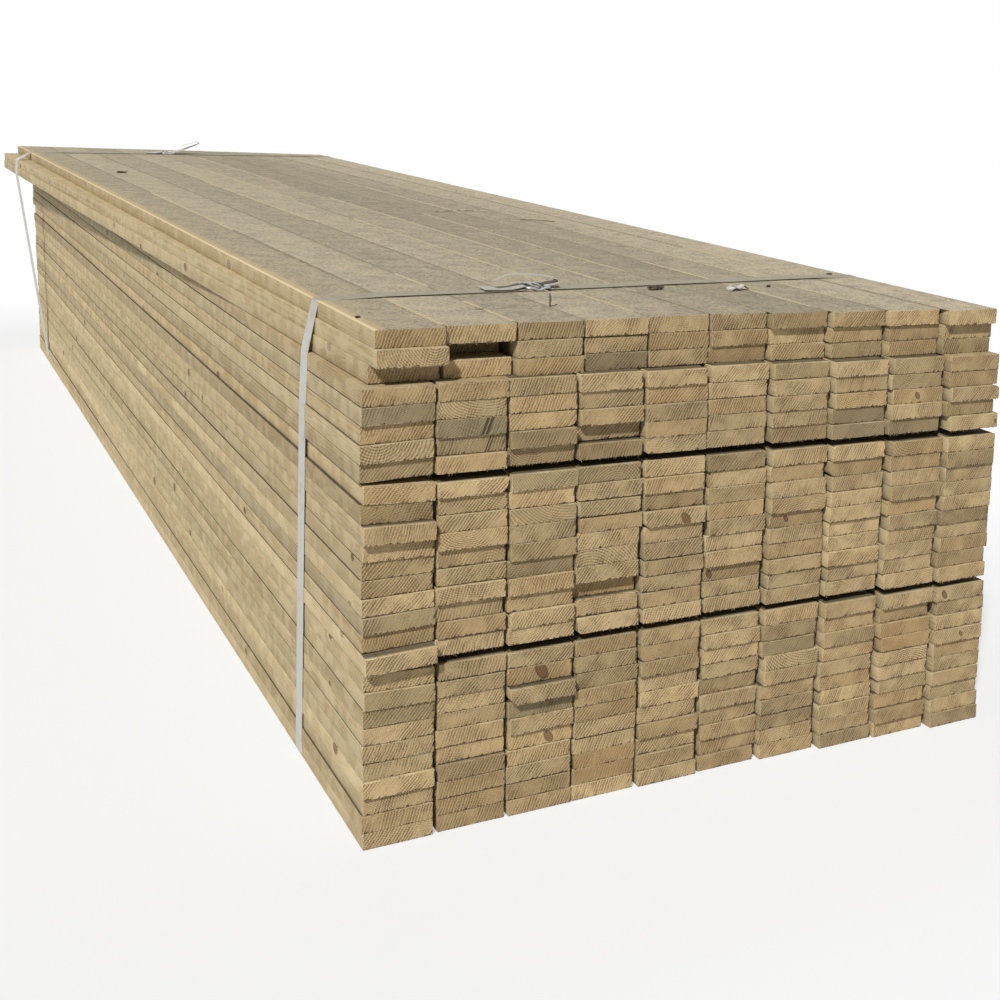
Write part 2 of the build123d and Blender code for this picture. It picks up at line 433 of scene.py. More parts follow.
for board in all_boards:
    place = (board.layer, board.column)
    luck = board.luck
    board.stain = stained_ends.get(place, luck.choice((0, 0, 0, 0.12, 0.25)))
    board.warmth = brown_ends.get(place, luck.choice((0, 0, 0.1, 0.25, 0.4)))
    board.lightness = max(-most_contrast, min(most_contrast, luck.gauss(0, usual_contrast)))
    upright = luck.choice((-1, 1))
    to_side, to_height, ring_width = near_pith if place in strongly_ringed else far_pith
    board.pith = (luck.uniform(*to_side), upright * luck.uniform(*to_height), luck.uniform(*ring_width))
    board.ringed = 1.0 if place in strongly_ringed else luck.uniform(0.1, 0.6)
    board.knot = end_knots.get(place, (0, 0, 0))
    board.streak = bark_streaks.get(place, (0, 0))
    board.seed = luck.uniform(0, 40)
print("stained:", len(stained_ends), "with a knot:", len(end_knots))

# %% [markdown]
# The rings of points also carry the facts that the material needs: where each point is
# on its board, where the pith of its tree lay, and how the board is toned. They are
# stored as attributes, so one material serves 280 boards and no two look alike.
# A second set, on the faces, says which are end grain, which lie under the dust, and which lie against other
# boards and so get painted shade.
# In the lowest layer the boards have a shallow groove where a strap is pressed in.

# %% Where a board's rings lie
end_rings = ((0.0, 1.0), (0.0005, 0.3), (0.002, 0.0))
seen_rings = 44
hidden_rings = 5
strap_places = ((0.335, 0.115), (3.72, 0.20))
groove_rings = (-0.0185, -0.018, 0.018, 0.0185)
groove_half = 0.018
groove_depth = 0.0009


def grooves_of(board):
    """How far along a lowest board each strap crosses it."""
    if board.layer < layer_count:
        return []
    corner = boards[-1][0].low
    across = board.low.x + board.width / 2 - corner.x
    return [along + slope * across - (board.low.y - corner.y) for along, slope in strap_places]


def rings_of(board, grooves):
    """How far along the board its rings lie, and how torn each is, from 0 to 1."""
    seen = board.layer == 1 or board.column in (1, column_count)
    count = seen_rings if seen else hidden_rings
    middle = [board.length * step / count for step in range(1, count)]
    middle += [crossing + reach for crossing in grooves for reach in groove_rings]
    inner = [(along, 0.0) for along in sorted(middle)]
    return [*end_rings, *inner, *((board.length - along, torn) for along, torn in reversed(end_rings))]


# %% What lies on a face, and how boards sag
worn_arris = 0.0016
open_layers = (3, 4)
open_columns = (1, 2, 10)
under_a_short_end = ((2, 1), (9, 1), (19, 1))
most_sag = 0.0036
sag_layers = 5
above_laths = (8, 18)


def covering(board, start, end):
    """1 for a face that lies on another board, 2 for one beside another board, 0 for an open one. The
    material paints shade on faces 1 and 2.
    """
    across, up = end[0] - start[0], end[1] - start[1]
    if math.hypot(across, up) < worn_arris:
        return 0.0
    if abs(up) > abs(across):
        left, right = board.column > 1 and up < 0, board.column < column_count and up > 0
        return 2.0 if left or right else 0.0
    if across > 0:
        return 1.0 if board.layer < layer_count else 0.0
    ledge = board.layer in open_layers and board.column in open_columns
    bare = board.layer == 1 or ledge or (board.layer, board.column) in under_a_short_end
    return 0.0 if bare else 1.0


def edge_sag(board):
    """How far the left edge of a left-hand board has moved towards the nearest lath gap."""
    if board.column > 1:
        return 0.0
    for layer in above_laths:
        above, below = layer - board.layer, board.layer - layer - 1
        if 0 <= above < sag_layers:
            return -most_sag * (1 - above / sag_layers)
        if 0 <= below < sag_layers:
            return most_sag * (1 - below / sag_layers)
    return 0.0


# %% The mesh of a board
bow = 0.0007
bow_waves = (1.9, 5.3)
swell_waves = (2.7, 7.1)
seam_play = 0.0015
seen_seam_play = 0.0007
tear = 0.0005
swept_dust = 0.9
top_share = 0.9
fact_names = ("board_place", "board_log", "board_tone", "board_section", "board_knot", "board_streak")


def wander(along, waves, phases):
    """Two slow waves, one over the other."""
    return math.sin(waves[0] * along + phases[0]) + 0.5 * math.sin(waves[1] * along + phases[1])


def board_points(board, loop, rings, grooves):
    """The points of all the rings of a board, each with the facts that its material needs."""
    luck = board.luck
    phases = [luck.uniform(0, 6.28) for _ in range(4)]
    settled = luck.choice((0.1, 0.35, 0.65, 1.0))
    settled *= seen_seam_play if board.column in (1, column_count) else seam_play
    sag = edge_sag(board)
    middle_x, middle_z = board.width / 2, board.thickness / 2
    own_facts = (*board.pith, board.lightness, board.stain, board.warmth)
    own_facts += (middle_x, middle_z, board.seed, *board.knot, *board.streak, board.ringed)
    for along, torn in rings:
        bend = wander(along, bow_waves, phases[:2])
        swell = wander(along, swell_waves, phases[2:])
        grooved = any(abs(along - crossing) <= groove_half for crossing in grooves)
        for across, up in loop:
            out_x, out_z = across - middle_x, up - middle_z
            drawn = torn * tear * luck.uniform(0.1, 1.0)
            across_now = middle_x + out_x * (1 - drawn / middle_x) + bow * bend / 2
            up_now = middle_z + out_z * (1 - drawn / middle_z)
            if up > middle_z and board.layer > 1:
                up_now -= settled * (1 + 0.4 * swell)
            up_now += sag * (1 - across / board.width)
            if grooved:
                up_now = max(up_now, groove_depth)
            yield board.place(across_now, along, up_now), (out_x, along, out_z, *own_facts)


def dress_board(board, points, faces, facts, kinds):
    """Adds one board's points and faces to those of its layer."""
    loop = section_of(board)
    grooves = grooves_of(board)
    rings = rings_of(board, grooves)
    first, around = len(points), len(loop)
    for point, own_facts in board_points(board, loop, rings, grooves):
        points.append(point)
        facts.append(own_facts)
    dust = swept_dust if board.column == 1 else 1.0
    sides = []
    for start, end in zip(loop, loop[1:] + loop[:1]):
        dusty = board.layer == 1 and min(start[1], end[1]) > board.thickness * top_share
        sides.append((dust if dusty else 0.0, covering(board, start, end)))
    for ring in range(len(rings) - 1):
        here = first + ring * around
        inner = 1.0 if len(end_rings) - 1 <= ring < len(rings) - len(end_rings) else 0.0
        for step, (dustiness, covered) in enumerate(sides):
            beside = (step + 1) % around
            faces.append((here + step, here + step + around, here + beside + around, here + beside))
            # end grain, dustiness, and where the material paints shade between boards
            kinds.append((0.0, dustiness, covered * inner))
    last = first + (len(rings) - 1) * around
    faces += [tuple(range(first, first + around)), tuple(range(last + around - 1, last - 1, -1))]
    kinds += [(1.0, 0.0, 0.0)] * 2


# %% Dress the layers
sharp_from = math.radians(35)
wood_pieces = []
for row in boards:
    points, faces, facts, kinds = [], [], [], []
    for board in row:
        dress_board(board, points, faces, facts, kinds)
    number = f"{row[0].layer:02d}"
    mesh = new_mesh(f"boards_{number}", points, faces)
    for start, name in enumerate(fact_names):
        store(mesh, name, [own_facts[3 * start:3 * start + 3] for own_facts in facts])
    store(mesh, "face_kind", kinds, "FACE")
    mesh.set_sharp_from_angle(angle=sharp_from)
    wood_pieces.append(shown(mesh.name, mesh, "wood", f"layer_{number}"))
print("board faces:", sum(len(piece.data.polygons) for piece in wood_pieces))

# %% [markdown]
# Wood is solid, so its material is made in the board's own three directions. Rings
# are circles round the pith, wandering a little along the tree: on an end they show as
# arcs, and on a face the same rings turn into grain. The saw adds its own marks, slanted
# lines on the ends and chatter across the faces. Knots sit in cells of a Voronoi
# texture, whose cell centres are the places where branches were.

# %% Colours of the wood
end_wood = screen_colour(186, 163, 122)
end_late_wood = screen_colour(96, 76, 48)
face_wood = screen_colour(189, 172, 134)
face_late_wood = screen_colour(152, 131, 94)
warm_wood = screen_colour(156, 123, 76)
bare_wood = screen_colour(200, 178, 137)
dusty_wood = screen_colour(189, 178, 154)
dusty_wood_dark = screen_colour(120, 110, 90)
stain_grey = screen_colour(113, 104, 78)
fuzz_pale = screen_colour(206, 188, 152)
# a painted highlight along the top left arris
arris_highlight = screen_colour(232, 212, 170)
knot_brown = screen_colour(98, 66, 38)
# dark bark, and also the painted shade in torn notches along the ends' edges
bark_and_notch_shade = screen_colour(58, 43, 28)

# %% Rings, saw marks and knots
saw_spacing = 0.0041
chatter_spacing = 0.0064
knot_cells = (9.0, 3.6, 9.0)


class Grain(Recipe):
    """What a board's own facts say about each point: its rings, its saw marks and its knots."""

    def read_board(self):
        """Reads the facts that the mesh carries."""
        self.spot, log, tone, section, knot, streak = (self.attribute(name) for name in fact_names)
        self.across, self.along, self.up = self.parts(self.spot)
        self.pith_across, self.pith_up, self.ring_width = self.parts(log)
        self.lightness, self.stain, self.warmth = self.parts(tone)
        self.half_width, self.half_thickness, self.seed = self.parts(section)
        self.knot_across, self.knot_up, self.knot_radius = self.parts(knot)
        self.streak_at, self.streak_half, self.ringed = self.parts(streak)
        self.end_grain, self.dust, self.covered = self.parts(self.attribute("face_kind"))

    def make_noises(self):
        """Noise that is the board's own, some of it drawn out along the grain."""
        own_shift = self.joined(self.seed * 3.7, self.seed * 1.9, self.seed * 5.3)
        self.own = self.vector("ADD", self.spot, own_shift)
        streaky = self.vector("MULTIPLY", self.own, (1.0, 0.06, 1.0))
        self.slow, self.wander, self.chattered = self.noises(streaky, 8.0)
        self.quick = self.noise(streaky, 70.0)
        self.fibre = self.noise(streaky, 430.0, 2.0, 0.7)
        self.speckle = self.noise(self.own, 600.0, 2.0, 0.6)
        self.blotch, self.sawn, self.patchy = self.noises(self.own, 26.0)
        patches = self.noise(self.vector("MULTIPLY", self.own, (1.0, 0.35, 1.0)), 30.0, 1.0)
        self.torn_patch = patches.step(0.60, 0.68)
        self.grit = self.noise(self.own, 170.0, 3.0, 0.75)

    def away(self, across, up):
        """How far a point is from another, from its distances across and up."""
        return (across ** 2 + up ** 2) ** 0.5

    def face_knots(self):
        """For knots on the faces: each point's share in one, in its rim and in the swirl round it."""
        squeezed = self.vector("MULTIPLY", self.own, knot_cells)
        cells = self.node("ShaderNodeTexVoronoi", None, {"Vector": squeezed, "Scale": 1.0, "Randomness": 0.8})
        branch = self.vector("DIVIDE", cells.also("Position"), knot_cells)
        from_branch = self.vector("MULTIPLY", self.vector("SUBTRACT", self.own, branch), (0.2, 0.8, 1.2))
        _, past_branch, _ = self.parts(from_branch)
        chance, size, _ = self.parts(cells.also("Color"))
        share = (self.length(from_branch) + (self.quick - 0.5) * 0.005) / (0.0045 + size * 0.0065)
        there = chance.step(0.35, 0.36)
        knot = there * share.step(1.15, 0.85) * (1 - self.end_grain)
        rim = there * (share - 1.05).size().step(0.3, 0.0) * (1 - self.end_grain)
        self.flare = there * share.step(2.8, 1.2) * past_branch.step(0.001, 0.008) * (1 - knot)
        return knot, rim, there * share.step(3.5, 0.6)

    def end_knot(self):
        """The same for the knot that an end was cut through."""
        over, up = self.across - self.knot_across, self.up - self.knot_up
        away = self.away((over + up * 0.35) * 1.5, up)
        share = (away + (self.blotch - 0.5) * 0.005) / (self.knot_radius + 0.00001)
        knot = self.end_grain * share.step(1.12, 0.9)
        rim = self.end_grain * (share - 1.0).size().step(0.28, 0.0) * self.knot_radius.step(0.001, 0.002)
        return knot, rim, self.end_grain * share.step(3.0, 0.8)

    def make_rings(self):
        """The rings round the pith, which swirl round a knot, and the dark late wood in each."""
        knots = zip(self.face_knots(), self.end_knot())
        self.knot, self.rim, swirl = (on_face + on_end for on_face, on_end in knots)
        over = self.across - self.pith_across + (self.slow - 0.5) * 0.035
        up = self.up - self.pith_up + (self.wander - 0.5) * 0.025 + swirl * 0.006
        self.ring = (self.away(over, up) / self.ring_width + self.quick * 0.6 + self.blotch * 0.5).wave()
        self.late = self.ring ** 2.0

    def make_saw_marks(self):
        """Slanted lines and tears on the ends, and chatter across the faces."""
        lean = 1.08 + (self.seed * 2.3).sine() * 0.2
        over_cut = self.across * lean.sine() - self.up * lean.cosine()
        along_cut = self.across * lean.cosine() + self.up * lean.sine()
        self.torn = self.noise(self.joined(over_cut * 330, along_cut * 45, self.seed), 1.0, 2.0, 0.6)
        saw = (over_cut / saw_spacing + self.blotch * 1.6 + self.torn * 0.5).wave()
        self.saw = saw * self.sawn.step(0.32, 0.6) * 0.6 + (self.torn - 0.3) * 0.9
        chatter = ((self.along + self.across * 0.3 + self.up * 0.4) / chatter_spacing).wave()
        self.chatter = chatter * self.chattered.step(0.42, 0.62)


# %% [markdown]
# The colour is laid down in the order in which a board gets it: first the wood as it
# grew and was sawn, then stains, knots and bark, then dust from above with a painted
# highlight on the top left arris, then pale wear along the edges and painted shade in
# torn notches. Last comes painted shade, because the faces between boards see little light.

# %% Rough-sawn wood
class SawnWood(Grain):
    """The material of every board."""

    def grown(self):
        """The colour of fresh ends and faces."""
        grain = self.late * (0.02 + self.ringed * 0.50) + self.saw * (0.88 - self.ringed * 0.32)
        grain = grain + (self.blotch - 0.5) * 0.4 + (self.speckle - 0.5) * 1.1 - 0.05
        end_colour = self.mix(grain.step(-0.12, 1.0), end_wood, end_late_wood)
        grain = self.late * 0.35 + (self.fibre - 0.42) * 1.2 + (self.quick - 0.5) * 0.6 + self.chatter * 0.42
        grain = grain + (self.speckle - 0.5) * 0.5 - self.torn_patch * 0.6 - self.flare * 0.7
        face_colour = self.mix(grain.step(-0.1, 1.0), face_wood, face_late_wood)
        colour = self.mix(self.end_grain, face_colour, end_colour)
        return self.mix(self.warmth * (0.35 + self.patchy * 0.5), colour, warm_wood)

    def marked(self, colour):
        """Adds grey stains, knots and bark streaks."""
        stained = self.stain * (self.patchy * 0.7 + self.stain * 0.3).step(0.25, 0.52)
        stained = stained * (0.4 + self.end_grain * 0.6)
        colour = self.mix(stained * (0.6 + self.late * 0.3), colour, stain_grey)
        colour = self.mix((self.knot * (0.62 + self.ring * 0.3)).least(1.0), colour, knot_brown)
        colour = self.mix((self.rim * 0.5).least(1.0), colour, bark_and_notch_shade)
        slanted = self.across - self.streak_at - self.up * 0.35 + (self.quick - 0.5) * 0.002
        in_streak = slanted.size()
        streak = (self.streak_half - in_streak).step(0.0, 0.0008)
        streak = streak * in_streak.step(0.0006, 0.0014) * self.end_grain
        return self.mix(streak * 0.85, colour, bark_and_notch_shade)

    def dusted_and_highlit(self, colour):
        """Adds the dust of the top boards, which is swept off along the left side of the bundle, and paints a
        highlight along the bare left arris.
        """
        swept = ((1 - self.dust) * 10).least(1.0) * self.dust.step(0.5, 0.6)
        from_left = self.half_width + self.across
        ragged = from_left + (self.wander - 0.5) * 0.03 + (self.blotch - 0.5) * 0.012
        bare = swept * ragged.step(0.026, 0.014)
        colour = self.mix(bare * 0.7, colour, bare_wood)
        gritty = (self.blotch * 0.15 + self.speckle * 0.3 + self.grit * 0.7).step(0.42, 0.76)
        cover = (self.dust * (0.80 + self.blotch * 0.3) * (1 - bare * 0.85)).least(1.0)
        colour = self.mix(cover, colour, self.mix(gritty, dusty_wood, dusty_wood_dark))
        # painted highlight: a bright line along the top left arris, where the edge catches the light
        arris = swept * from_left.step(0.006, 0.003)
        return self.mix(arris * (0.5 + self.patchy * 0.6), colour, arris_highlight)

    def worn_and_notch_shade(self, colour):
        """Paints shade in torn notches along the ends' lower and right edges, and adds pale fuzz on the
        arrises.
        """
        lower_right_edge = (self.half_thickness + self.up).least(self.half_width - self.across)
        # painted shade: dark notches along the lower and right edges of the ends, where torn wood lies in
        # shadow
        notch_shade = (lower_right_edge - (self.torn - 0.49) * 0.012).step(0.0006, 0.0)
        colour = self.mix(notch_shade * self.end_grain * 0.9, colour, bark_and_notch_shade)
        edge = (self.half_width - self.across.size()).least(self.half_thickness - self.up.size())
        fuzz = (edge + (self.speckle - 0.5) * 0.004).step(0.0010, 0.0) * self.patchy.step(0.45, 0.6)
        return self.mix(fuzz * (0.4 - self.dust * 0.2), colour, fuzz_pale)

    def shaded(self, colour):
        """Gives the board its own lightness, and paints shade on the faces that other boards hide."""
        beside = (self.covered - 1).step(0.1, 0.9)
        from_front = self.along.step(0.002, 0.010) * (1 - beside) + self.along.step(0.012, 0.040) * beside
        # painted shade: faces against other boards are darkened, starting a little way in from each end
        painted_shade = self.covered.least(1.0) * from_front * self.along.step(3.997, 3.975)
        tone = (1.0 + self.lightness * 0.135 + (self.slow - 0.5) * 0.25) * (1 - painted_shade * 0.75)
        return self.mix(1.0, colour, self.joined(tone, tone, tone), "MULTIPLY")

    def whole(self):
        """The finished material."""
        self.read_board()
        self.make_noises()
        self.make_rings()
        self.make_saw_marks()
        colour = self.shaded(self.worn_and_notch_shade(self.dusted_and_highlit(self.marked(self.grown()))))
        end_height = self.saw * 0.8 + self.speckle * 0.8
        face_height = self.fibre * 0.6 + self.chatter * 0.45
        height = self.end_grain * end_height + (1 - self.end_grain) * face_height
        return self.finish(colour, 0.86, height, depth=0.0011, strength=0.9, IOR=1.4)


sawn_wood = SawnWood("sawn_wood").whole()
for piece in wood_pieces:
    piece.data.materials.append(sawn_wood)
print("wood nodes:", len(sawn_wood.node_tree.nodes))

# %% [markdown]
# Each strap lies in a plane that leans a little across the bundle and up it, and pulled
# taut it touches only the outermost edges. The edges where the plane crosses the outer
# boards are gathered, and the convex hull of those points is the strap's route. Its
# corners are rounded, because a woven band can't fold sharply round a board.

# %% The route of a strap
strap_width = 0.025
strap_thickness = 0.0008
corner_round = 0.004
lies_off = 0.0003


class StrapPlane:
    """The leaning plane of a strap: how far along the bundle it is at each point."""

    def __init__(self, at_middle, across_slope, up_slope):
        self.at_middle, self.across_slope, self.up_slope = at_middle, across_slope, up_slope
        self.normal = Vector((-across_slope, 1, -up_slope)).normalized()

    def point(self, x, z):
        return Vector((x, self.at_middle + self.across_slope * x + self.up_slope * z, z))

    def across(self, z):
        """The direction across the bundle in the plane, at some height."""
        return (self.point(1, z) - self.point(0, z)).normalized()


def edge_point(board, across, up, plane):
    """Where one long edge of a board crosses a strap's plane, as distances across and up."""
    point = board.place(across, 0, up)
    for _ in range(3):
        point += board.back * ((plane.point(point.x, point.z).y - point.y) / board.back.y)
    return (point.x, point.z)


def taut_round(points):
    """The convex hull of some points, anticlockwise from the left."""
    ordered = sorted(set(points))
    hull = []
    for walk in (ordered, ordered[::-1]):
        side = []
        for x, z in walk:
            while len(side) > 1:
                (ax, az), (bx, bz) = side[-2:]
                if (bx - ax) * (z - bz) - (bz - az) * (x - bx) > 1e-9:
                    break
                side.pop()
            side.append((x, z))
        hull += side[:-1]
    return hull


def strap_corners(plane):
    """The edges that the strap touches, as distances across and up."""
    points = []
    for row in boards:
        for board, across in ((row[0], 0), (row[-1], row[-1].width)):
            for up in (0 if board.layer < layer_count else strap_thickness / 2, board.thickness):
                points.append(edge_point(board, across, up, plane))
    return taut_round(points)


planes = {"near": StrapPlane(-1.60031, 0.115, -0.09), "far": StrapPlane(1.82540, 0.20, -0.10)}
for which, plane in planes.items():
    print("corners of the", which, "strap:", len(strap_corners(plane)))

# %% [markdown]
# Both loose ends of a strap go under the buckle's end bars, fold round them and lie
# back over the strap. The left end of the near strap lies flat, and its right one
# springs up in a long arch, because the band is stiff. The ends are drawn in the strap's
# upright plane with a few points each, and a smooth curve is led through them.

# %% Shapes of the loose ends
bar_from_middle = 0.020
bar_height = 0.0031
fold_steps = 6
under_bar = (1.5, 1.2)
past_bar = 0.002
buckle_across = {"near": -0.1200, "far": -0.0900}
left_ends = {
    "near": ((-0.040, 0.0026), (-0.060, 0.0022), (-0.090, 0.0034)),
    "far": ((-0.040, 0.0026), (-0.056, 0.0022), (-0.070, 0.0030)),
}
right_ends = {
    "near": (
        (0.030, 0.0072), (0.038, 0.0098), (0.036, 0.0150), (0.016, 0.0195), (-0.012, 0.0225),
        (-0.045, 0.0225), (-0.072, 0.0130)),
    "far": (
        (0.050, 0.0130), (0.085, 0.0260), (0.108, 0.0370), (0.100, 0.0420), (0.078, 0.0360),
        (0.052, 0.0280)),
}
# The way in which a right end turns its width
swung_ways = {"near": Vector((0.40, 0.915, -0.04)), "far": Vector((0.19, 0.98, -0.01))}


def smooth_through(points, steps=6):
    """A smooth line through some points, with a few steps between each two."""
    line = []
    padded = [points[0], *points, points[-1]]
    for four in zip(padded, padded[1:], padded[2:], padded[3:]):
        for step in range(steps):
            t = step / steps
            weights = (
                -t / 2 + t ** 2 - t ** 3 / 2,
                1 - 2.5 * t ** 2 + 1.5 * t ** 3,
                t / 2 + 2 * t ** 2 - 1.5 * t ** 3,
                (t ** 3 - t ** 2) / 2,
            )
            weighted = (weight * Vector(point) for weight, point in zip(weights, four))
            line.append(sum(weighted, Vector((0, 0))))
    return line + [Vector(points[-1])]


def folded_end(side, free_points):
    """A loose end from under its bar, round it and out, as distances along the strap and up."""
    fold = bar_height - strap_thickness / 2
    bar = side * bar_from_middle
    line = [Vector((bar * share, strap_thickness / 2)) for share in under_bar]
    for step in range(fold_steps + 1):
        turn = math.pi * step / fold_steps
        line.append(Vector((bar - side * fold * math.sin(turn), bar_height - fold * math.cos(turn))))
    over = Vector((bar + side * past_bar, bar_height + fold))
    return line + smooth_through([over, *(Vector(point) for point in free_points)])[1:]


print("points in the near strap's right end:", len(folded_end(1, right_ends["near"])))

# %% [markdown]
# A strap's mesh is a band swept along its route, with a loop of ten points round its
# flat section. Every point keeps how far along and across the band it is, and how dusty
# it is there, so that the weave follows the band round its corners and folds.

# %% Sweeping the band
across_shares = (-1.0, -0.6, 0.0, 0.6, 1.0)
edge_thinness = 0.6
cup_depth = 0.00025
cup_wave = 23
corner_shares = (0, 0.25, 0.5, 0.75, 1)


def rounded(corners, radius):
    """An open line with its corners rounded by short curves."""
    line = [corners[0]]
    for before, corner, after in zip(corners, corners[1:], corners[2:]):
        reach = min(radius, (before - corner).length / 2.2, (after - corner).length / 2.2)
        start = corner + (before - corner).normalized() * reach
        end = corner + (after - corner).normalized() * reach
        line += [start.lerp(corner, share).lerp(corner.lerp(end, share), share) for share in corner_shares]
    return [*line, corners[-1]]


def add_band(points, faces, places, line, dustiness, width_way, end_way):
    """Sweeps the band's section along a line, turning its width to another way at the end."""
    first, count = len(points), len(line)
    travelled = 0.0
    for index, point in enumerate(line):
        before, after = line[max(index - 1, 0)], line[min(index + 1, count - 1)]
        ahead = (after - before).normalized()
        own_way = width_way.lerp(end_way, min(1.0, max(0.0, index / count * 2.4 - 0.6)))
        own_way = (own_way - ahead * own_way.dot(ahead)).normalized()
        outward = ahead.cross(own_way)
        travelled += (point - before).length if index else 0
        cup = cup_depth * math.sin(travelled * cup_wave)
        for side, shares in ((1, across_shares), (-1, across_shares[::-1])):
            for share in shares:
                thin = edge_thinness if abs(share) == 1 else 1.0
                lift = side * strap_thickness / 2 * thin + cup * share ** 2
                corner = point + own_way * (share * strap_width / 2) + outward * lift
                corner.z = max(corner.z, 0.0)
                points.append(corner)
                places.append((travelled, share, dustiness(point)))
    faces += tube_faces(first, count, 2 * len(across_shares))


# %% The straps
top_rise = 0.0026
rise_reach = 0.10
near_top = 0.001
below_top = 0.02
long_run = 0.1
top_steps = 12
stub_share = 1.1
dust_depth = 0.010
dust_fade = 0.008
loose_dust = 0.3
band_sharp_from = math.radians(40)


def raised_on_top(line, top):
    """The same line, lying a little off the boards that it crosses on top."""
    made = [line[0]]
    for start, end in zip(line, line[1:]):
        both_on_top = min(start.z, end.z) > top - near_top
        steps = top_steps if both_on_top and (end - start).length > long_run else 1
        made += [start.lerp(end, step / steps) for step in range(1, steps + 1)]
    on_top = [point for point in made if point.z > top - near_top]
    left, right = min(point.x for point in on_top), max(point.x for point in on_top)
    for point in on_top:
        point.z += top_rise * min(1.0, min(point.x - left, right - point.x) / rise_reach)
    return made


def taut_band(plane, buckle_x):
    """The band's line from the buckle's left side round the bundle to its right side."""
    corners = [plane.point(x, z) for x, z in strap_corners(plane)]
    top = max(corner.z for corner in corners)
    off = strap_thickness / 2 + lies_off
    pushed = []
    for before, corner, after in zip(corners[-1:] + corners[:-1], corners, corners[1:] + corners[:1]):
        way_in = plane.normal.cross(corner - before).normalized()
        way_out = plane.normal.cross(after - corner).normalized()
        moved = corner + (way_in + way_out) * off / (1 + way_in.dot(way_out))
        moved.z = max(moved.z, strap_thickness / 2)
        pushed.append(moved)
    pairs = zip(pushed, pushed[1:] + pushed[:1])
    passed = [corner.z > top - below_top and corner.x > buckle_x >= after.x for corner, after in pairs]
    first = passed.index(True) + 1
    stubs = [plane.point(buckle_x + side * bar_from_middle * stub_share, top + off) for side in (-1, 1)]
    line = rounded([stubs[0], *pushed[first:], *pushed[:first], stubs[1]], corner_round)
    return raised_on_top(line, top + off), top + lies_off + top_rise


def make_strap(which):
    """The taut band and its two loose ends, as one piece."""
    name, plane = f"strap_band_{which}", planes[which]
    points, faces, places = [], [], []
    line, top = taut_band(plane, buckle_across[which])

    def dust_on_top(point):
        return max(0.0, min(1.0, (point.z - top + dust_depth) / dust_fade))

    add_band(points, faces, places, line, dust_on_top, plane.normal, plane.normal)
    buckle = plane.point(buckle_across[which], top + strap_thickness)
    over = plane.across(top)
    for side, shapes, end_way in ((-1, left_ends, plane.normal), (1, right_ends, swung_ways[which])):
        shape = folded_end(side, shapes[which])
        end_line = [buckle + over * along + Vector((0, 0, up)) for along, up in shape]
        add_band(points, faces, places, end_line, lambda point: loose_dust, plane.normal, end_way)
    mesh = new_mesh(name, points, faces)
    store(mesh, "band_place", places)
    outwards = bmesh.new()
    outwards.from_mesh(mesh)
    bmesh.ops.recalc_face_normals(outwards, faces=outwards.faces)
    outwards.to_mesh(mesh)
    outwards.free()
    mesh.set_sharp_from_angle(angle=band_sharp_from)
    print(name, "has", len(points), "points")
    return shown(name, mesh, "strap", f"strap_{which}")


strap_pieces = [make_strap(which) for which in planes]

# %% [markdown]
# The band is woven from polyester cords. Close up it shows fine ribs along it and a
# thread across every millimetre. Where it lies on top of the bundle it has gathered
# the same dust as the boards, and on the sides it is still a shiny grey-white.

# %% Woven band
band_white = screen_colour(206, 204, 196)
band_shadow = screen_colour(160, 158, 150)
band_dust = screen_colour(158, 146, 124)
rib_count = 14
thread_spacing = 0.0013


def woven_band():
    """The material of the straps."""
    band = Recipe("woven_band")
    along, across, dust = band.parts(band.attribute("band_place"))
    rib = (across * rib_count * 3.1416).sine().size()
    thread = (along / thread_spacing).wave()
    grime, patch, _ = band.noises(band.place(), 60.0)
    colour = band.mix((1 - rib) * 0.45 + thread * 0.2, band_white, band_shadow)
    colour = band.mix(dust * (0.62 + grime * 0.4), colour, band_dust)
    colour = band.mix(grime.step(0.5, 0.8) * 0.3, colour, band_dust)
    roughness = 0.42 + dust * 0.35 + patch * 0.1
    return band.finish(colour, roughness, rib * 0.7 + thread * 0.3, depth=0.0003, strength=0.8)


woven = woven_band()
for piece in strap_pieces:
    piece.data.materials.append(woven)
print("woven band on", len(strap_pieces), "straps")

# %% [markdown]
# A buckle is bent from one galvanised wire: a ring with rounded corners and two tongues
# across it. Pulled by the strap, its long sides dip in the middle. The wire's middle
# line is a mesh of edges, and a Geometry Nodes tree turns any such line into round wire:
# it rounds the corners and sweeps a small circle along it.


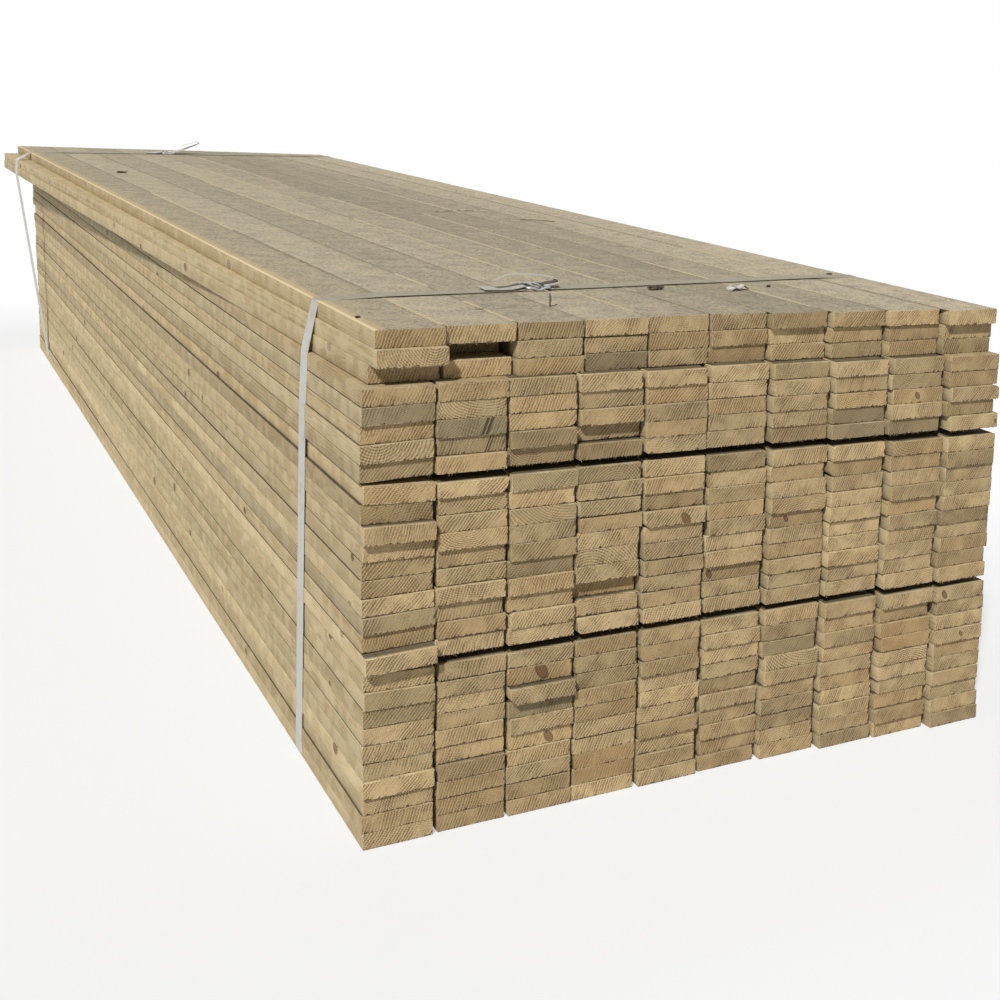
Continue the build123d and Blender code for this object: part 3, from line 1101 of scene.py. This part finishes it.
# %% Trees that grow meshes
class Growth(Graph):
    """A Geometry Nodes tree, with inputs that have names and first values."""

    def __init__(self, name, inputs):
        super().__init__(bpy.data.node_groups.new(name, "GeometryNodeTree"))
        face = self.tree.interface
        for way in ("INPUT", "OUTPUT"):
            face.new_socket("Geometry", in_out=way, socket_type="NodeSocketGeometry")
        self.identifiers = {}
        for label, value in inputs.items():
            kind = "NodeSocketInt" if isinstance(value, int) else "NodeSocketFloat"
            socket = face.new_socket(label, in_out="INPUT", socket_type=kind)
            socket.default_value = value
            self.identifiers[label] = socket.identifier
        self.given = self.node("NodeGroupInput")

    def random(self, low, high, seed):
        """A random number between two others, another one at each point."""
        return self.node("FunctionNodeRandomValue", {"data_type": "FLOAT"}, {2: low, 3: high, 8: seed}, 1)

    def set_out(self, points, piece, turned, scaled, chosen=True):
        """A turned and scaled copy of a piece on each chosen point."""
        inputs = {"Points": points, "Instance": piece, "Rotation": turned, "Scale": scaled}
        return self.node("GeometryNodeInstanceOnPoints", None, {**inputs, "Selection": chosen})

    def end(self, geometry, material):
        """Realizes the instances, sets the material and ends the tree."""
        real = self.node("GeometryNodeRealizeInstances", None, {0: geometry})
        coated = self.node("GeometryNodeSetMaterial", None, {0: real, "Material": material})
        self.node("NodeGroupOutput", None, {0: coated})

    def grown(self, mesh, **values):
        """The plain mesh that the tree makes from a mesh, with some of its inputs set."""
        name = mesh.name
        holder = new_object(name, mesh)
        modifier = holder.modifiers.new(name, "NODES")
        modifier.node_group = self.tree
        for label, value in values.items():
            modifier[self.identifiers[label]] = value
        graph = bpy.context.evaluated_depsgraph_get()
        result = bpy.data.meshes.new_from_object(holder.evaluated_get(graph))
        holder.modifiers.remove(modifier)
        bpy.data.objects.remove(holder)
        result.name = name
        print(name, "faces:", len(result.polygons))
        return result


# %% A tree that bends wire
def galvanised_wire():
    """The material of the buckles: zinc with dull spangles and a little grime."""
    wire = Recipe("galvanised_wire")
    spangle, grime, _ = wire.noises(wire.place(), 700.0)
    colour = wire.mix(spangle, screen_colour(206, 210, 214), screen_colour(165, 170, 175))
    colour = wire.mix(grime.step(0.55, 0.75) * 0.5, colour, screen_colour(120, 112, 98))
    return wire.finish(colour, 0.28 + grime * 0.25, spangle, depth=0.0001, strength=0.4, Metallic=1.0)


def wire_bender():
    """The tree that turns a line of edges into round wire."""
    tree = Growth("bent_wire", {"wire_radius": 0.002, "bend_radius": 0.006, "sides": 10})
    line = tree.node("GeometryNodeMeshToCurve", None, {0: tree.given})
    bend = {0: line, "Count": 5, "Radius": tree.given.also("bend_radius"), "Limit Radius": True}
    bent = tree.node("GeometryNodeFilletCurve", {"mode": "POLY"}, bend)
    round_section = {"Resolution": tree.given.also("sides"), "Radius": tree.given.also("wire_radius")}
    circle = tree.node("GeometryNodeCurvePrimitiveCircle", None, round_section)
    swept = tree.node("GeometryNodeCurveToMesh", None, {0: bent, 1: circle, "Fill Caps": True})
    tree.end(tree.node("GeometryNodeSetShadeSmooth", None, {0: swept}), galvanised_wire())
    return tree


wire_tree = wire_bender()
print("nodes in the wire tree:", len(wire_tree.tree.nodes))

# %% The buckles
wire_radius = 0.002
buckle_half_width = strap_width / 2 + 0.003 + wire_radius
dip = 0.0026
# The ring's corners and the dips of its long sides: along, across and up, as shares
ring_shape = (
    (-1, -1, 0.4), (-1, 1, 0.4), (-0.5, 1, 0.2), (0, 1, -1), (0.5, 1, 0.2),
    (1, 1, 0.4), (1, -1, 0.4), (0.5, -1, 0.2), (0, -1, -1), (-0.5, -1, 0.2),
)
tongue_places = (-0.006, 0.006)
tongue_shape = ((-1, 0.2), (-0.6, 1), (0.6, 1), (1, 0.2))


def make_buckle(which):
    """The middle line of one buckle, led through the wire tree."""
    name, plane = f"wire_buckle_{which}", planes[which]
    _, top = taut_band(plane, buckle_across[which])
    middle = plane.point(buckle_across[which], top + strap_thickness + bar_height)

    def from_middle(along, across, lift):
        return middle + plane.across(0) * along + plane.normal * across + lift

    points = []
    for x, y, z in ring_shape:
        points.append(from_middle(x * bar_from_middle, y * buckle_half_width, Vector((0, 0, z * dip))))
    edges = [(index, (index + 1) % len(ring_shape)) for index in range(len(ring_shape))]
    for along in tongue_places:
        first = len(points)
        lifted = Vector((0, 0, dip * 0.9))
        for y, share in tongue_shape:
            points.append(from_middle(along, y * (buckle_half_width - 0.0005), lifted * share))
        edges += [(first + step, first + step + 1) for step in range(3)]
    made = wire_tree.grown(new_mesh(name, points, [], edges), wire_radius=wire_radius)
    return shown(name, made, "wire", f"buckle_{which}")


for which in planes:
    make_buckle(which)

# %% [markdown]
# The saw has left splinters hanging from the lower arrises of the ends, and fibres
# standing up from some upper ones. A second tree grows them: it sets points every few
# millimetres along the arrises, keeps a random share of them, and puts a thin cone of
# random length and lean on each.

# %% Loose wood
def loose_wood(name, pale, dark, scale):
    """The material of splinters, sawdust and chips: two tones from a fine noise."""
    fibre = Recipe(name)
    tone, rough, _ = fibre.noises(fibre.place(), scale)
    colour = fibre.mix(tone.step(0.38, 0.62), screen_colour(*dark), screen_colour(*pale))
    return fibre.finish(colour, 0.8 + rough * 0.15, tone, depth=0.0002, strength=0.5)


splinter_wood = loose_wood("splinter_wood", (196, 176, 138), (120, 98, 68), 260.0)
chip_wood = loose_wood("chip_wood", (214, 200, 166), (96, 82, 62), 90.0)
print("materials of loose wood:", splinter_wood.name, chip_wood.name)


# %% Splinters along the arrises
def splinter_grower():
    """The tree that sets splinters along lines."""
    tree = Growth("splinters", {
        "spacing": 0.004, "share": 0.6, "shortest": 0.001, "longest": 0.0045, "tilt": 3.3, "lean": 0.6,
        "seed": 3})
    given = tree.given.also
    arrises = tree.node("GeometryNodeMeshToCurve", None, {0: tree.given})
    spacing = {0: arrises, "Length": given("spacing")}
    spaced = tree.node("GeometryNodeResampleCurve", {"mode": "LENGTH"}, spacing)
    chance = {6: given("share"), 8: given("seed")}
    chosen = tree.node("FunctionNodeRandomValue", {"data_type": "BOOLEAN"}, chance, 3)
    sizes = {"Vertices": 3, "Radius Top": 0.0002, "Radius Bottom": 0.0007, "Depth": 1.0}
    cone = tree.node("GeometryNodeMeshCone", None, sizes)
    length = tree.random(given("shortest"), given("longest"), 5)
    tilt = given("tilt") + tree.random(-0.4, 0.4, 7)
    lean = tree.random(given("lean") * -1.0, given("lean"), 9)
    turned, scaled = tree.joined(tilt, lean, 0.0), tree.joined(1.0, 1.0, length)
    tree.end(tree.set_out(spaced, cone, turned, scaled, chosen), splinter_wood)
    return tree


end_inset = 0.0008
side_inset = 0.004


def arris_mesh(name, up_share, at_back, chosen_boards):
    """One edge along an end arris of each board, inset a little from its corners."""
    points = []
    for board in chosen_boards:
        along = board.length - end_inset if at_back else end_inset
        for across in (side_inset, board.width - side_inset):
            points.append(board.place(across, along, up_share * board.thickness))
    return new_mesh(name, points, [], [(index, index + 1) for index in range(0, len(points), 2)])


# The lowest boards get no splinters, because those would reach into the floor
ragged_share = 0.75
fringed_share = 0.35
ragged = [board for board in all_boards if board.luck.random() < ragged_share and board.layer < layer_count]
fringed = [board for board in all_boards if board.luck.random() < fringed_share]
fringes = (
    ("splinters_front", 0.03, False, ragged, {}),
    ("fibres_front", 0.97, False, fringed, {"tilt": 0.3, "share": 0.35, "longest": 0.003, "seed": 11}),
    ("splinters_back", 0.03, True, ragged, {"tilt": 2.98, "seed": 17}),
)
splinter_tree = splinter_grower()
for name, up_share, at_back, chosen_boards, values in fringes:
    shown(name, splinter_tree.grown(arris_mesh(name, up_share, at_back, chosen_boards), **values), "wood")

# %% [markdown]
# The top of the bundle has gathered sawdust and grit. A third tree scatters small chips
# over it, and in some of the gaps between the top boards sawdust lies as a pale seam,
# with ragged edges.


# %% Chips and grit
def chip_scatterer():
    """The tree that scatters chips over faces."""
    tree = Growth("chips", {"density": 700.0, "least": 0.0006, "most": 0.0026, "seed": 5})
    given = tree.given.also
    spread = {0: tree.given, "Density": given("density"), "Seed": given("seed")}
    scattered = tree.node("GeometryNodeDistributePointsOnFaces", None, spread)
    chip = tree.node("GeometryNodeMeshCube", None, {"Size": (1.0, 1.0, 1.0)})
    long_way = tree.random(given("least"), given("most"), 13)
    short_way = tree.random(given("least"), 0.0012, 14)
    thick = tree.random(0.0003, 0.0008, 15)
    turned = tree.joined(tree.random(-0.4, 0.4, 16), tree.random(-0.4, 0.4, 17), tree.random(0.0, 3.14, 18))
    scaled = tree.joined(long_way, short_way, thick)
    tree.end(tree.set_out(scattered, chip, turned, scaled), chip_wood)
    return tree


chip_inset = 0.002
chip_lift = 0.0002
top_points = []
for board in boards[0]:
    left, right = chip_inset, board.width - chip_inset
    front, back = side_inset, board.length - side_inset
    for across, along in ((left, front), (right, front), (right, back), (left, back)):
        top_points.append(board.place(across, along, board.thickness + chip_lift))
top_faces = [range(first, first + 4) for first in range(0, len(top_points), 4)]
top_mesh = new_mesh("chips_on_top", top_points, top_faces)
shown("chips_on_top", chip_scatterer().grown(top_mesh), "wood")

# %% Seams of sawdust
seam_materials = (
    loose_wood("sawdust", (212, 196, 158), (172, 156, 122), 900.0),
    loose_wood("gap_dust", (166, 154, 128), (120, 108, 84), 300.0),
)
seam_luck = random.Random("sawdust seams")
seam_steps = 330
seam_lift = 0.0001
least_spread = 0.0002
# How far the fill spreads to each side and how high it is heaped, where it is dark and pale
most_spread = (0.0010, 0.0022)
most_heap = (0.0002, 0.0009)
# Where the fill is fresh and pale: from and to along the bundle, as shares of its length
pale_runs = (
    ((0.0, 0.07), (0.30, 0.52)), ((0.0, 0.05), (0.09, 0.13)), ((0.35, 0.62),), ((0.01, 0.36), (0.48, 0.75)),
    ((0.06, 0.50), (0.62, 0.9)), ((0.12, 0.40),), ((0.01, 0.16), (0.4, 0.66)), ((0.03, 0.3),), ((0.1, 0.22),),
)
seam_points, seam_faces, seam_kinds = [], [], []
for left, right, runs in zip(boards[0], boards[0][1:], pale_runs):
    for step in range(seam_steps + 1):
        share = step / seam_steps
        along = side_inset + share * (left.length - 2 * side_inset)
        pale = any(start < share < end for start, end in runs)
        near = left.place(left.width, along, left.thickness)
        far = right.place(0, along, right.thickness)
        for edge, way in ((near, -1), (far, 1)):
            spread = seam_luck.uniform(least_spread, most_spread[pale])
            seam_points.append(edge + left.right * way * spread + Vector((0, 0, seam_lift)))
        heap = seam_luck.uniform(-least_spread, most_heap[pale])
        seam_points.append((near + far) / 2 + Vector((0, 0, heap)))
        if step < seam_steps:
            base = len(seam_points) - 3
            seam_faces += [(base, base + 2, base + 5, base + 3), (base + 2, base + 1, base + 4, base + 5)]
            seam_kinds += [0 if pale else 1] * 2
seam_mesh = new_mesh("sawdust_seams", seam_points, seam_faces)
for material in seam_materials:
    seam_mesh.materials.append(material)
for face, kind in zip(seam_mesh.polygons, seam_kinds):
    face.material_index = kind
    face.use_smooth = True
shown("sawdust_seams", seam_mesh, "wood")
print("seam faces:", len(seam_faces))

# %% [markdown]
# A few larger scraps lie on top: a chunk of bark, torn scraps of paper, a curled bit of
# strapping hair, a small worn tag of wood, twigs and crumbs. Each is a bent strip or a
# rough lump, drawn from a few points.

# %% Scraps on top
top_height = boards[0][0].place(0, 0, boards[0][0].thickness).z
bark = loose_wood("bark", (98, 82, 62), (44, 36, 28), 160.0)
paper = loose_wood("paper_scrap", (206, 202, 192), (150, 144, 132), 120.0)


def laid_on_top(name, mesh, material):
    """Gives a scrap its material and shows it."""
    mesh.materials.append(material)
    shown(name, mesh, "wood")


def lump(name, x, y, size, turn, material, seed):
    """A rough flat lump: a rounded block whose points are pushed about."""
    luck = random.Random(seed)
    shape = bmesh.new()
    bmesh.ops.create_icosphere(shape, subdivisions=2, radius=0.5)
    for vertex in shape.verts:
        vertex.co *= luck.uniform(0.75, 1.15)
        flat = Matrix.Rotation(turn, 3, "Z") @ Vector((vertex.co.x * size[0], vertex.co.y * size[1], 0))
        vertex.co = flat + Vector((x, y, top_height + size[2] * (0.5 + vertex.co.z * 0.9)))
    mesh = bpy.data.meshes.new(name)
    shape.to_mesh(mesh)
    shape.free()
    laid_on_top(name, mesh, material)


def strip(name, width, material, *line):
    """A thin bent strip, a flat section carried along a line."""
    points = []
    line = [Vector((x, y, top_height + up)) for x, y, up in line]
    half = Vector((0, 0, 0.0004))
    for index, point in enumerate(line):
        ahead = line[min(index + 1, len(line) - 1)] - line[max(index - 1, 0)]
        side = ahead.cross(Vector((0, 0, 1))).normalized() * width / 2
        points += [point - side - half, point + side - half, point + side + half, point - side + half]
    laid_on_top(name, new_mesh(name, points, tube_faces(0, len(line), 4)), material)


lumps = (
    ("bark_chunk", 0.078, -1.706, (0.034, 0.018, 0.008), 0.2, bark),
    ("bark_crumb_left", -0.452, -1.888, (0.011, 0.005, 0.003), 0.5, bark),
    ("bark_crumb_far", -0.364, 0.78, (0.03, 0.02, 0.006), 0.1, bark),
    ("bark_crumb_right", 0.294, -1.706, (0.016, 0.008, 0.004), 0.9, bark),
    ("bark_crumb_back", 0.505, -1.575, (0.016, 0.008, 0.004), 0.3, bark),
    ("wood_tag", -0.269, -1.845, (0.011, 0.015, 0.0018), 0.7, splinter_wood),
)
for seed, facts in enumerate(lumps, start=1):
    lump(*facts, seed)
strips = (
    ("hooked_hair", 0.0022, bark, (-0.119, -1.741, 0.004), (-0.135, -1.78, 0.003), (-0.158, -1.835, 0.0012),
     (-0.162, -1.846, 0.001), (-0.155, -1.846, 0.002), (-0.150, -1.842, 0.003)),
    ("twig_far", 0.006, chip_wood, (0.16, -0.36, 0.001), (0.20, -0.34, 0.003), (0.26, -0.32, 0.001),
     (0.30, -0.33, 0.002)),
    ("twig_middle", 0.005, bark, (0.30, -0.55, 0.001), (0.33, -0.566, 0.003), (0.37, -0.59, 0.001)),
    ("paper_scrap", 0.014, paper, (0.196, -1.742, 0.001), (0.206, -1.738, 0.006), (0.216, -1.736, 0.003),
     (0.228, -1.734, 0.009), (0.238, -1.735, 0.002)),
    ("paper_scrap_folded", 0.010, paper, (0.202, -1.722, 0.002), (0.212, -1.726, 0.008),
     (0.224, -1.728, 0.001)),
)
for facts in strips:
    strip(*facts)
print("scraps laid on top:", len(lumps) + len(strips))

# %% [markdown]
# The laths between the blocks stay as the CAD model has them. They are the same sawn
# wood, seen only in the dark gaps, so a plain grain across the bundle is enough.

# %% Laths
def lath_material():
    """Sawn laths, with the grain across the bundle."""
    lath = Recipe("lath_wood")
    drawn = lath.vector("MULTIPLY", lath.place(), (0.08, 1.0, 1.0))
    grain, patch, _ = lath.noises(drawn, 260.0)
    colour = lath.mix(grain.step(0.3, 0.7), screen_colour(172, 148, 108), screen_colour(128, 104, 70))
    colour = lath.mix(patch.step(0.4, 0.7) * 0.4, colour, screen_colour(112, 104, 84))
    return lath.finish(colour, 0.85 + patch * 0.1, grain, depth=0.0004, strength=0.8)


lath_wood = lath_material()
for name in ("stickers_upper", "stickers_lower"):
    laths = nodes[name]
    laths.data.materials.clear()
    laths.data.materials.append(lath_wood)
print("laths dressed")

# %% [markdown]
# The light is that of a plain studio: a pale world all round and one soft sun high at
# the front left, whose wide disc blurs its shadows. A sun lights both ends of a long
# bundle alike, which a lamp near it can't. The background and the floor look white
# because the camera's own rays are told so, and not through more light on the bundle.
# Near the bundle the floor keeps its shadow, and further out it fades to plain white.

# %% World
world_light = 0.20
white = (1, 1, 1, 1)
world = bpy.data.worlds.new("studio")
bpy.context.scene.world = world
world.use_nodes = True
sky = Graph(world.node_tree)
light = {0: sky.seen_rays(), 2: world_light, 3: 1.0}
strength = sky.node("ShaderNodeMix", {"data_type": "FLOAT"}, light)
background = sky.node("ShaderNodeBackground", None, {"Color": white, "Strength": strength})
sky.node("ShaderNodeOutputWorld", None, {"Surface": background})
bpy.context.scene.view_settings.view_transform = "Standard"
print("world light:", world_light)

# %% Floor and sun
floor_size = 60
floor_height = -0.0005
bundle_reach = (0.55, 2.0, 1.0)
floor_grey = (0.84, 0.84, 0.84, 1)
sun_strength = 3.3
sun_disc = math.radians(4)
sun_way = Vector((0.68, 0.80, -1.0))
ground = Recipe("floor")
beyond = ground.vector("SUBTRACT", ground.vector("ABSOLUTE", ground.place()), bundle_reach)
from_bundle = ground.length(ground.vector("MAXIMUM", beyond))
fade = 0.5 + 0.5 * from_bundle.step(0.15, 1.3)
lit = ground.node("ShaderNodeBsdfDiffuse", None, {"Color": floor_grey})
glow = ground.node("ShaderNodeEmission", None, {"Color": white, "Strength": 1.0})
surface = ground.node("ShaderNodeMixShader", None, {0: ground.seen_rays() * fade, 1: lit, 2: glow})
ground.node("ShaderNodeOutputMaterial", None, {"Surface": surface})

corners = [(x * floor_size, y * floor_size, floor_height) for x, y in ((-1, -1), (1, -1), (1, 1), (-1, 1))]
floor = new_object("floor", new_mesh("floor", corners, [(0, 1, 2, 3)]))
floor.data.materials.append(ground.material)

sun = new_object("sun", bpy.data.lights.new("sun", "SUN"))
sun.data.energy = sun_strength
sun.data.angle = sun_disc
sun.rotation_euler = sun_way.to_track_quat("-Z", "Y").to_euler()
print("sun and floor are in place")
